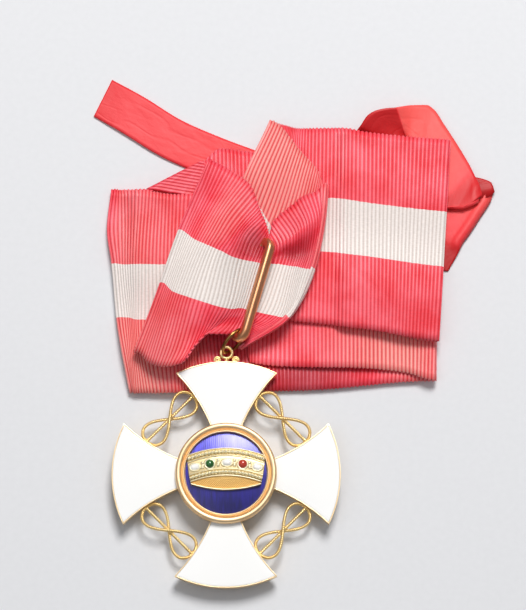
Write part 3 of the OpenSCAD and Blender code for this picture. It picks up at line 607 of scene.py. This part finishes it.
# each row: how faded it is, for the whole row or for each point (above 0 paler: partly faded, partly painted
# light;
# below 0 darker: painted shade), then its points: place from the loop in ribbon widths, layer, and layer
# after a fold
RIBBON_ROWS = [
    [0.1, [0.48, 0.78, 2], [0.46, -0.14, 2]],
    [0.1, [0.955, 0.75, 2, 3], [0.885, -0.23, 2.2, 3.2]],
    [0.1, [0.57, 0.785, 3], [0.55, -0.175, 3]],
    [0.1, [0.455, 0.805, 3], [0.435, -0.16, 3]],
    [0.1, [0.39, 0.815, 2], [0.37, -0.145, 2]],
    [0.1, [0.23, 0.815, 2], [0.18, -0.125, 2]],
    [0.1, [0.15, 0.83, 2], [-0.02, -0.11, 2]],
    [0.8, [0.07, 0.85, 2, 3], [-0.07, 0.517, 2, 3], [-0.13, 0.263, 2, 3], [-0.15, -0.09, 2, 3]],
    [0.8, [0.225, 0.695, 3], [0.101, 0.31, 3], [-0.018, 0.068, 3], [-0.09, -0.13, 3]],
    [0.55, [0.31, 0.59, 3], [0.214, 0.195, 3], [0.09, -0.04, 3], [0.0, -0.185, 3]],
    [0.3, [0.366, 0.506, 3, 4.6], [0.355, 0.37, 3, 5.6], [0.3, 0.098, 3, 5.9], [0.18, -0.132, 3, 5.9],
     [-0.041, -0.275, 3, 4.3]],
    [[0.1, -0.1, -0.1, 0, 0], [0.3, 0.478, 4.8], [0.32, 0.343, 5.9], [0.274, 0.099, 5.8],
     [0.172, -0.134, 6.0], [-0.039, -0.267, 4.6]],
    [[0.1, -0.1, -0.5, -0.1, 0, 0], [0.238, 0.454, 5.0], [0.28, 0.306, 6.4], [0.266, 0.188, 4.9],
     [0.241, 0.104, 5.6], [0.158, -0.135, 5.9], [-0.034, -0.246, 4.8]],
    [[0.1, 0, -0.75, -0.1, 0, 0], [0.176, 0.405, 5.1], [0.23, 0.277, 6.3], [0.228, 0.186, 4.5],
     [0.206, 0.113, 5.4], [0.135, -0.132, 5.7], [-0.029, -0.22, 4.9]],
    [[0.1, 0, -0.8, -0.1, 0, 0], [0.126, 0.366, 5.1], [0.188, 0.245, 6.0], [0.185, 0.177, 4.3],
     [0.171, 0.121, 5.0], [0.095, -0.121, 5.3], [-0.024, -0.194, 4.9]],
    [[0.1, 0, -0.6, 0, 0, 0], [0.094, 0.327, 5.1], [0.146, 0.226, 5.6], [0.148, 0.177, 4.4],
     [0.133, 0.129, 4.8], [0.048, -0.11, 5.0], [-0.025, -0.172, 4.8]],
    [[0, -0.2, -0.2, 0, 0], [0.081, 0.274, 5.0], [0.107, 0.207, 5.1], [0.088, 0.133, 4.7],
     [0.008, -0.099, 4.8], [-0.03, -0.16, 4.8]],
    [[0, -0.4, -0.3, -0.1, -0.1, -0.3, 0], [0.076, 0.254, 5.7], [0.065, 0.196, 5.7],
     [0.049, 0.154, 5.5], [0.041, 0.132, 5.4], [-0.028, -0.094, 5.6], [-0.055, -0.155, 5.7],
     [-0.083, -0.212, 6.1]],
    [[0.1, -0.8, -0.6, -0.25, -0.3, -0.2, -0.2], [0.073, 0.273, 6.6], [0.036, 0.205, 5.75],
     [0.018, 0.159, 5.98], [0.008, 0.135, 6.1], [-0.06, -0.09, 6.2], [-0.102, -0.164, 5.7],
     [-0.141, -0.213, 6.4]],
    [[0.1, -0.7, -0.65, -0.3, -0.3, -0.1, -0.2], [0.064, 0.306, 6.9], [0.001, 0.225, 6.1],
     [-0.019, 0.171, 6.1], [-0.03, 0.142, 6.1], [-0.092, -0.095, 6.3], [-0.158, -0.173, 5.6],
     [-0.204, -0.213, 6.5]],
    [[0.1, -0.35, -0.45, -0.3, -0.15, -0.1, -0.1], [0.046, 0.349, 7.0], [-0.037, 0.257, 7.2],
     [-0.065, 0.187, 7.07], [-0.08, 0.149, 7.0], [-0.137, -0.092, 7.0], [-0.224, -0.217, 5.6],
     [-0.272, -0.275, 6.2]],
    [[0.1, 0.2, 0.1, -0.1, 0.0, 0.1, 0.1], [0.022, 0.414, 6.8], [-0.074, 0.295, 7.5],
     [-0.124, 0.22, 7.43], [-0.15, 0.181, 7.4], [-0.22, -0.07, 7.4], [-0.289, -0.274, 5.5],
     [-0.33, -0.353, 5.7]],
    [[0.15, 0.4, 0.35, 0.2, 0.15, 0.35, 0.5], [-0.014, 0.502, 6.3], [-0.124, 0.359, 7.3],
     [-0.18, 0.258, 7.5], [-0.21, 0.205, 7.6], [-0.3, -0.045, 7.5], [-0.368, -0.288, 5.4],
     [-0.401, -0.365, 4.9]],
    [[0.1, 0.05, 0.2, 0.5], [-0.105, 0.575, 5.5], [-0.28, 0.24, 7.1], [-0.375, -0.015, 7.2],
     [-0.48, -0.345, 4.1]],
    [[-0.1, -0.15, 0.15, 0.5], [-0.22, 0.64, 5.3, 4.2], [-0.36, 0.295, 6.3, 4],
     [-0.445, 0.04, 6.2, 3.2], [-0.565, -0.28, 3.7, 2]],
    [[-0.1, 0.1, 0.2, 0.2], [-0.185, 0.595, 4.3], [-0.28, 0.235, 4], [-0.31, -0.03, 3.3],
     [-0.315, -0.227, 2.1]],
    [[-0.1, 0.2, 0.3, 0.3], [-0.142, 0.491, 4.2, 3.1], [-0.2, 0.18, 3.8, 2.6], [-0.205, -0.1, 3.2, 2],
     [-0.193, -0.174, 2.2, 1.1]],
    [[0.2, 0.3, 0.3, 0.4], [-0.361, 0.478, 3], [-0.37, 0.14, 2.4], [-0.345, -0.12, 1.2], [-0.33, -0.47, 1]],
    [[0.3, 0.4, 0.6, 1.0], [-0.53, 0.5, 3], [-0.545, 0.14, 2.2], [-0.545, -0.12, 1.2], [-0.5, -0.47, 1]],
    [[0.3, 0.4, 0.6, 1.0], [-0.625, 0.51, 1.4], [-0.615, 0.145, 1.2], [-0.59, -0.11, 1.1],
     [-0.56, -0.47, 1]],
    [[0.0, 0.1, 0.3, 0.6, 1.0], [-0.687, 0.516, 1, 0], [-0.705, 0.331, 1, 0], [-0.68, 0.15, 1, 0],
     [-0.655, -0.11, 1, 0], [-0.59, -0.465, 1, 0]],
    [-0.7, [0.225, 0.55, 0], [0.225, -0.455, 0]],
    [0.5, [0.895, 0.585, 0, 1], [0.885, 0.225, 0, 1], [0.88, -0.045, 0, 1], [0.87, -0.41, 0, 1.4]],
    [1.0, [0.73, 0.615, 1], [0.715, -0.37, 1]],
    [0.55, [0.5, 0.635, 1], [0.49, -0.35, 1]],
    [0.1, [0.225, 0.675, 1], [0.225, -0.345, 1]],
    [0.1, [-0.015, 0.7, 1], [-0.015, -0.32, 1]],
    [0.1, [-0.05, 0.705, 1], [-0.03, -0.18, 1]],
    [0.1, [-0.155, 0.72, 1], [-0.145, 0.0, 1]],
    [0.1, [-0.237, 0.652, 1], [-0.222, 0.026, 1]],
    [0.1, [-0.483, 0.505, 1], [-0.522, 0.1, 1]],
]


def smooth_curve(values, places, wanted):
    """Values at wanted places on a smooth curve through given ones that never swings past them."""
    values, places = np.asarray(values, float), np.asarray(places, float)
    widths = np.diff(places).reshape((-1,) + (1,) * (values.ndim - 1))
    steps = np.diff(values, axis=0) / widths
    before, after = np.concatenate([steps[:1], steps]), np.concatenate([steps, steps[-1:]])
    together = before * after > 0
    slopes = np.where(together, 2 * before * after / np.where(together, before + after, 1), 0)
    i = np.clip(np.searchsorted(places, wanted, side="right") - 1, 0, len(places) - 2)
    h = widths[i]
    t = ((wanted - places[i]).reshape((-1,) + (1,) * (values.ndim - 1))) / h
    a, b, d = slopes[i] * h, slopes[i + 1] * h, values[i + 1] - values[i]
    return values[i] + t * a + t ** 2 * (3 * d - 2 * a - b) + t ** 3 * (a + b - 2 * d)


def layer_z(count):
    """Height of a layer: the lower ones lie one on another, and those above them rise to the loop."""
    count = np.asarray(count, float)
    top = CLOTH / 2 + LAID_LAYERS * LAYER
    gathered = top + (count - LAID_LAYERS) / LAYERS_TO_LOOP * (LOOP_Z - top)
    return np.where(count <= LAID_LAYERS, CLOTH / 2 + count * LAYER, gathered)


def row_line(row, side, columns, shares):
    """Points across the cloth along one row, before (0) or after (1) a fold, each with how faded it is and
    its painted shade.
    """
    fade_and_shade_values = np.broadcast_to(row[0], len(row) - 1)
    points = []
    for (x, y, *layers), fade_and_shade in zip(row[1:], fade_and_shade_values):
        layer = layers[side] if len(layers) > side else layers[0]
        points.append([LOOP_PLACE[0] + x * RIBBON_W, LOOP_PLACE[1] + y * RIBBON_W, layer_z(layer), fade_and_shade])
    return smooth_curve(points, shares[len(points)], np.linspace(0, 1, columns))


def folded_lines(rows, columns, shares):
    """One line of points for each row, and an arc of lines about the outer edge where a row is a fold."""
    lines = []
    for i, row in enumerate(rows):
        here, there = row_line(row, 0, columns, shares), row_line(row, 1, columns, shares)
        if np.allclose(here, there):
            lines.append(here)
            continue
        before = row_line(rows[max(i - 1, 0)], 0, columns, shares)
        across = here[-1, :2] - here[0, :2]
        out = np.array([across[1], -across[0]]) / np.linalg.norm(across)
        ahead = (here[0, :2] + here[-1, :2] - before[0, :2] - before[-1, :2]) @ out
        out = out if ahead >= 0 else -out
        for angle in np.radians((-90, -60, -30, 0, 30, 60, 90)):
            line = here.copy()
            radius = np.minimum(np.abs(there[:, 2] - here[:, 2]) / 2, FOLD_REACH)
            line[:, :2] -= out * (CLOTH / 2 + radius * (1 - math.cos(angle)))[:, None]
            line[:, 2] = (there[:, 2] + here[:, 2]) / 2 + (there[:, 2] - here[:, 2]) / 2 * math.sin(angle)
            lines.append(line)
    return np.array(lines)


def cloth_strip(lines, pitch, steps, thickness, rib_height, scallop):
    """A closed strip of cloth along lines, with steps points to each rib, and its length.

    The ribs rise on both faces between the grooves, and their ends scallop the selvedges. The cloth map holds
    the share of the width and the number of ribs; the fade and painted shade map holds how faded the cloth is
    and its painted shade.
    """
    moves, ways = np.diff(lines[:, :, :3], axis=0), np.gradient(lines[:, :, :3], axis=1)[:-1]
    ways /= np.linalg.norm(ways, axis=2, keepdims=True)
    moves -= (moves * ways).sum(2, keepdims=True) * ways
    gaps = np.linalg.norm(moves, axis=2).max(1)
    along = np.concatenate([[0], np.cumsum(gaps)])
    ribs = int(round(along[-1] / pitch))
    wanted = np.linspace(0, along[-1], ribs * steps + 1)
    grid = smooth_curve(lines, along, wanted)
    grid, fade_and_painted_shade = grid[:, :, :3], grid[:, :, 3].ravel()
    grid[:, :, 2] += REST
    length, across = np.gradient(grid, axis=0), np.gradient(grid, axis=1)
    normal = np.cross(length, across)
    normal /= np.linalg.norm(normal, axis=2, keepdims=True)
    phase = np.arange(len(grid)) % steps / steps
    height = np.random.default_rng(7).uniform(0.75, 1.1, ribs + 1)[np.arange(len(grid)) // steps]
    crest = np.sin(math.pi * phase) ** 1.4 * height
    sideways = across / np.linalg.norm(across, axis=2, keepdims=True)
    grid[:, 0] -= sideways[:, 0] * (scallop * crest)[:, None]
    grid[:, -1] += sideways[:, -1] * (scallop * crest)[:, None]
    half = (thickness / 2 + rib_height * (crest - 1))[:, None, None]
    rows, columns = grid.shape[:2]
    upper, lower = (grid + normal * half).reshape(-1, 3), (grid - normal * half).reshape(-1, 3)
    points = np.concatenate([upper, lower]) * MM
    a = (np.arange(rows - 1)[:, None] * columns + np.arange(columns - 1)).ravel()
    low = rows * columns
    top = np.stack([a, a + columns, a + columns + 1, a + 1], 1)
    left, right = np.arange(rows - 1) * columns, np.arange(rows - 1) * columns + columns - 1
    first, last = np.arange(columns - 1), np.arange(columns - 1) + (rows - 1) * columns
    faces = np.concatenate([
        top, top[:, ::-1] + low,
        np.stack([left + low, left + columns + low, left + columns, left], 1),
        np.stack([right, right + columns, right + columns + low, right + low], 1),
        np.stack([first, first + 1, first + 1 + low, first + low], 1),
        np.stack([last + low, last + 1 + low, last + 1, last], 1)])
    mesh = bpy.data.meshes.new("cloth")
    mesh.from_pydata(points.tolist(), [], faces.tolist())
    shares = np.broadcast_to(np.linspace(0, 1, columns), (rows, columns)).ravel()
    ways = np.broadcast_to(wanted[:, None] / pitch, (rows, columns)).ravel()
    places = np.tile(np.stack([shares, ways], 1), (2, 1))
    corners = np.zeros(len(mesh.loops), int)
    mesh.loops.foreach_get("vertex_index", corners)
    mesh.uv_layers.new(name="cloth").data.foreach_set("uv", places[corners].ravel())
    fade_and_shade_uv = np.tile(np.stack([fade_and_painted_shade, np.zeros_like(fade_and_painted_shade)], 1), (2, 1))
    mesh.uv_layers.new(name="fade_and_painted_shade").data.foreach_set("uv", fade_and_shade_uv[corners].ravel())
    piece = bpy.data.objects.new("cloth", mesh)
    bpy.context.scene.collection.objects.link(piece)
    select_only(piece)
    bpy.ops.object.shade_smooth()
    return piece, along[-1]


def calculate(material, operation, *values):
    return add_node(material, "Math", {"operation": operation}, dict(enumerate(values))).outputs[0]


def ribbed_silk(name, striped):
    # Silk over cords: satin on the crests, deep red in the grooves as painted shade, with fine warp threads
    # across the cords.
    # The fade and painted shade map makes it paler where it is faded and where painted light stands in for
    # light, and darker as painted shade in its folds and pockets.
    material, shader = start_material(name, {
        "Roughness": 0.42, "Sheen Weight": 0.3, "Sheen Roughness": 0.35, "Sheen Tint": colour("FFC6CC"),
        "Specular IOR Level": 0.5})
    uv, share, way = read_map(material, "cloth")
    fade_and_painted_shade = read_map(material, "fade_and_painted_shade")[1]
    turn = calculate(material, "MULTIPLY", way, math.pi)
    cord = calculate(material, "ABSOLUTE", calculate(material, "SINE", turn))
    # painted sheen: soft patches of lighter red stand in for the gloss of the silk
    sheen_patch = noise(material, stretched(material, uv, (6.0, 0.12, 1.0)), 1, 4)
    thread = noise(material, stretched(material, uv, (170.0, 0.9, 1.0)), 1)
    sheen_and_shade_red = mixed(material, remap(material, sheen_patch, (0.36, 0.64)), "F2384D", "FC697A")
    # the crests pale more than the grooves: partly fading, partly painted light on the crests
    on_crest = remap(material, cord, (0.1, 0.65), (0.3, 1.15))
    crest_fade_and_light = add_node(material, "Math", {"operation": "MULTIPLY", "use_clamp": True},
                        {0: remap(material, fade_and_painted_shade, (0.0, 1.0)), 1: on_crest}).outputs[0]
    body = mixed(material, crest_fade_and_light, sheen_and_shade_red, "F2968F")
    if striped:
        wobble = calculate(material, "MULTIPLY_ADD", thread, 0.006, share)
        away = calculate(material, "ABSOLUTE", calculate(material, "SUBTRACT", wobble, STRIPE_MIDDLE))
        body = mixed(material, remap(material, away, STRIPE_HALF, (1.0, 0.0), "SMOOTHSTEP"), body, "EEE5E0")
    # painted shade: the grooves are made deeper and darker between the cords, and the cloth darker where the
    # map is below 0
    groove_shade_gamma = remap(material, cord, (0.0, 0.75), (1.7, 1.0))
    groove_shaded = add_node(material, "Gamma", inputs={"Color": body, "Gamma": groove_shade_gamma}).outputs[0]
    shade = remap(material, fade_and_painted_shade, (-1.0, 0.0), (0.4, 1.0))
    fleck = remap(material, thread, (0.3, 0.7), (0.93, 1.05))
    shadow = remap(material, cord, (0.0, 0.6), (0.76, 1.0))
    light = calculate(material, "MULTIPLY", calculate(material, "MULTIPLY", shade, fleck), shadow)
    feed(material, shader, "Base Color", shaded(material, groove_shaded, light))
    relief = calculate(material, "MULTIPLY_ADD", thread, 0.15, cord)
    feed_bump(material, shader, relief, strength=0.6, depth=0.12 * MM)
    return material


red_ribbon = ribbed_silk("ribbed red silk with a white stripe", True)
ribbon_lines = folded_lines(RIBBON_ROWS, RIBBON_COLUMNS, RIBBON_SHARES)
# away from the loop the cloth lies in two low waves: 24 mm long and 0.9 mm high, 19 mm long and 0.5 mm high
away_x, away_y = ribbon_lines[..., 0] - LOOP_PLACE[0], ribbon_lines[..., 1] - LOOP_PLACE[1]
waves = 0.45 * (1 - np.cos(2 * math.pi * (away_y - 17 + 0.12 * away_x) / 24))
waves += 0.25 * (1 - np.cos(2 * math.pi * (away_x - 0.3 * away_y) / 19))
ribbon_lines[..., 2] += waves * np.clip((np.hypot(away_x, away_y) - WAVES_FROM) / WAVES_GROW, 0, 1)
ribbon, _ = cloth_strip(ribbon_lines, RIB, 4, SILK, RIB_RISE, SCALLOP)
finish_piece(ribbon, "silk_neck_ribbon", red_ribbon, "ribbed_silk", "neck_ribbon")

# Turned corner of the ribbon's lower end: the same silk, folded over on itself and seen from its back.
CORNER = [(-0.508, 0.516), (-0.232, 0.664), (-0.224, 0.467)]
CORNER_ROWS, CORNER_COLUMNS, CORNER_TONE = 9, 13, -0.2
CORNER_RIB, CORNER_RIB_RISE = 0.8, 0.08
corner_tip, corner_top, corner_end = (np.array(LOOP_PLACE) + np.array(p) * RIBBON_W for p in CORNER)
corner_z = 2 * LAYER + CLOTH / 2 + 0.4
corner_lines = []
for k in np.linspace(0.06, 1, CORNER_ROWS):
    fold_side = corner_top * (1 - k) + corner_tip * k
    far_side = corner_top * (1 - k) + corner_end * k
    shares = np.linspace(0, 1, CORNER_COLUMNS)[:, None]
    line = fold_side * (1 - shares) + far_side * shares
    corner_lines.append(np.column_stack([line, np.full(CORNER_COLUMNS, corner_z),
                                         np.full(CORNER_COLUMNS, CORNER_TONE)]))
corner, _ = cloth_strip(np.array(corner_lines), CORNER_RIB, 4, SILK, CORNER_RIB_RISE, 0.0)
plain_silk = ribbed_silk("ribbed red silk", False)
finish_piece(corner, "silk_turned_corner", plain_silk, "ribbed_silk", "turned_corner")

# Tie tapes. The real ones are narrow red tape of smooth satin weave, sewn under the ends of the ribbon: soft,
# creased, one lying straight out to the left, the other curled round and folded at the right.
TAPE_W, TAPE = 10.0, 0.36
TAPE_CREASE, TAPE_CREASE_RISE, TAPE_EDGE = 0.6, 0.02, 0.05
TAPE_COLUMNS = 15
TAPE_SHARES = {2: (0, 1), 3: (0, 0.14, 1), 4: (0, 0.14, 0.22, 1)}
TAPE_LEFT_ROWS = [
    [-0.15, [-0.682, 1.077, 0], [-0.768, 0.893, 0]],
    [0.0, [-0.526, 0.987, 0.3], [-0.634, 0.813, 0.3]],
    [0.0, [-0.342, 0.87, 0.2], [-0.438, 0.69, 0.2]],
    [0.0, [-0.154, 0.786, 0], [-0.246, 0.604, 0]],
    [-0.1, [0.021, 0.718, 0], [-0.081, 0.542, 0]],
]
TAPE_RIGHT_ROWS = [
    [-0.5, [0.508, 0.67, 0.5], [0.712, 0.67, 0.5]],
    [-0.5, [0.5, 0.81, 1.2], [0.711, 0.72, 0.5]],
    [-0.5, [0.518, 0.831, 2.4], [0.716, 0.745, 0.5]],
    [-0.5, [0.551, 0.874, 3.4], [0.726, 0.765, 0.5]],
    [-0.5, [0.594, 0.897, 3.7], [0.731, 0.778, 0.5]],
    [-0.5, [0.642, 0.907, 3.7], [0.734, 0.781, 0.5]],
    [-0.5, [0.682, 0.911, 3.6], [0.736, 0.782, 0.6]],
    [0.3, [0.691, 0.914, 3.4], [0.74, 0.78, 0.8]],
    [0.3, [0.755, 0.935, 1.8], [0.764, 0.737, 1.0]],
    [0.3, [0.838, 0.942, 1.0], [0.796, 0.667, 1.0]],
    [0.3, [0.872, 0.921, 0.8], [0.781, 0.577, 1.1]],
    [0.3, [0.919, 0.848, 0.8], [0.775, 0.507, 1.1]],
    [0.2, [0.99, 0.731, 0.8], [0.798, 0.443, 1.1]],
    [0.1, [1.041, 0.637, 1.0], [0.831, 0.398, 1.1]],
    [-0.3, [1.065, 0.58, 1.4], [0.85, 0.403, 1.1]],
    [-0.4, [1.084, 0.53, 2.2], [1.013, 0.464, 1.6], [0.855, 0.423, 1.1]],
    [-0.2, [1.093, 0.485, 2.2], [1.017, 0.433, 1.8], [0.855, 0.426, 1.1]],
    [0.0, [1.078, 0.446, 2, 1], [1.008, 0.415, 1.8, 0.9], [0.861, 0.428, 1.1, 0.8]],
    [-0.8, [1.124, 0.484, 0.8], [1.049, 0.54, 0.7], [0.954, 0.55, 0.6]],
    [-0.7, [1.16, 0.523, 0.8, 0.3], [1.146, 0.568, 0.7, 0.2], [1.008, 0.608, 0.6, 0.1]],
    [0.2, [1.137, 0.468, 0.3], [1.105, 0.481, 0.9], [1.094, 0.491, 0.5], [0.96, 0.574, 0.1]],
    [0.1, [1.085, 0.386, 0.3], [1.055, 0.398, 1.1], [1.045, 0.41, 0.5], [0.91, 0.494, 0.1]],
    [0.0, [1.036, 0.31, 0.3], [1.006, 0.322, 1.1], [0.996, 0.333, 0.5], [0.861, 0.42, 0.1]],
    [-0.1, [0.995, 0.251, 0.3], [0.968, 0.261, 1.0], [0.954, 0.269, 0.5], [0.832, 0.351, 0.1]],
    [-0.7, [0.98, 0.216, 0.3], [0.83, 0.242, 0.2]],
    [-0.8, [0.929, 0.125, 0], [0.801, 0.14, 0]],
]
satin, shader = start_material("red satin tape", {
    "Roughness": 0.5, "Sheen Weight": 0.12, "Sheen Roughness": 0.35, "Sheen Tint": colour("FFB8B0"),
    "Specular IOR Level": 0.4})
uv, _, _ = read_map(satin, "cloth")
fade_and_painted_shade = read_map(satin, "fade_and_painted_shade")[1]
thread = noise(satin, stretched(satin, uv, (60.0, 1.0, 1.0)), 1, 3)
fold = noise(satin, stretched(satin, uv, (2.2, 0.08, 1.0)), 1, 3)
slant = noise(satin, stretched(satin, uv, (1.7, 0.03, 1.0), turn=0.5), 1, 1)
beside = calculate(satin, "ABSOLUTE", calculate(satin, "SUBTRACT", slant, 0.5))
crease = remap(satin, beside, (0.0, 0.045), kind="SMOOTHSTEP")
# painted shade: the red is darker in the hollows of the soft folds
sheen_and_shade_red = mixed(satin, fold, "E62D36", "EF4448")
# paler where the map is above 0, partly faded and partly painted light; deeper and darker below 0 as painted
# shade in the curls and under folds
body = mixed(satin, remap(satin, fade_and_painted_shade, (0.0, 1.0)), sheen_and_shade_red, "FF7E6E")
deep = add_node(satin, "Gamma",
                inputs={"Color": body, "Gamma": remap(satin, fade_and_painted_shade, (-1.0, 0.0), (1.7, 1.0))}).outputs[0]
feed(satin, shader, "Base Color", shaded(satin, deep, remap(satin, fade_and_painted_shade, (-1.0, 0.0), (0.5, 1.0))))
height = calculate(satin, "MULTIPLY_ADD", thread, 0.1, fold)
height = calculate(satin, "MULTIPLY_ADD", crease, 0.1, height)
feed_bump(satin, shader, height, strength=0.6, depth=0.5 * MM)

for name, rows, node_name in (("satin_tape_left", TAPE_LEFT_ROWS, "tie_tape_left"),
                              ("satin_tape_right", TAPE_RIGHT_ROWS, "tie_tape_right")):
    lines = folded_lines(rows, TAPE_COLUMNS, TAPE_SHARES)
    tape, tape_length = cloth_strip(lines, TAPE_CREASE, 2, TAPE, TAPE_CREASE_RISE, TAPE_EDGE)
    finish_piece(tape, name, satin, "woven_tape", node_name)

# Table, light and camera: a pale matt sheet under one large soft light from above the badge's top, a little
# to the right, with the room's own light round it.
PHOTO_LONG, PHOTO_FOCAL, SENSOR = 610, 2792, 36
CAMERA_FAR, CAMERA_RISE = 650 * MM, math.radians(77)
AIM = Vector((8.409 * MM, 40.547 * MM, 0))
# the room's light, in linear tones: dim and warm from below, bright and cool from above
FLOOR_LIGHT, CEILING_LIGHT = (0.1, 0.095, 0.09, 1), (0.62, 0.635, 0.66, 1)
bpy.ops.object.select_all(action="DESELECT")
bpy.ops.mesh.primitive_plane_add(size=3, location=(0, 0, 0))
table = bpy.context.object
table.name = "table"
paper, shader = start_material("pale matt table", {"Roughness": 0.85, "Specular IOR Level": 0.2})
place = add_node(paper, "TexCoord").outputs["Object"]
feed(paper, shader, "Base Color", mixed(paper, noise(paper, place, 700, 3), "DADBDE", "E0E1E4"))
table.data.materials.append(paper)

world = bpy.data.worlds.new("studio")
bpy.context.scene.world = world
world.use_nodes = True
sky = world.node_tree.nodes["Background"]
ways = add_node(world, "TexCoord").outputs["Generated"]
upward = add_node(world, "SeparateXYZ", inputs={0: ways}).outputs["Z"]
room = add_node(world, "ValToRGB", inputs={0: upward})
room.color_ramp.elements[0].color = FLOOR_LIGHT
room.color_ramp.elements[1].color = CEILING_LIGHT
feed(world, sky, "Color", room.outputs[0])
sky.inputs["Strength"].default_value = 0.62


def soft_light(name, way, distance, size, power, tint):
    lamp = bpy.data.lights.new(name, "AREA")
    lamp.shape = "DISK"
    lamp.size = size
    lamp.energy = power
    lamp.color = tint
    holder = bpy.data.objects.new(name, lamp)
    bpy.context.scene.collection.objects.link(holder)
    holder.location = AIM + Vector(way).normalized() * distance
    holder.rotation_euler = Vector(way).to_track_quat("Z", "Y").to_euler()


soft_light("window", way=(0.12, 0.5, 0.85), distance=1.0, size=0.42, power=9.3, tint=(1.0, 0.985, 0.965))
soft_light("ceiling", way=(-0.5, -0.15, 0.9), distance=1.2, size=0.9, power=1.2, tint=(0.98, 0.985, 1.0))

camera = bpy.data.objects.new("camera", bpy.data.cameras.new("camera"))
bpy.context.scene.collection.objects.link(camera)
camera.data.sensor_width = SENSOR
camera.data.lens = SENSOR * PHOTO_FOCAL / PHOTO_LONG
camera.data.clip_start, camera.data.clip_end = 0.01, 10
camera.location = AIM + CAMERA_FAR * Vector((0, -math.cos(CAMERA_RISE), math.sin(CAMERA_RISE)))
camera.rotation_euler = (math.pi / 2 - CAMERA_RISE, 0, 0)
bpy.context.scene.camera = camera
bpy.context.scene.view_settings.view_transform = "Standard"
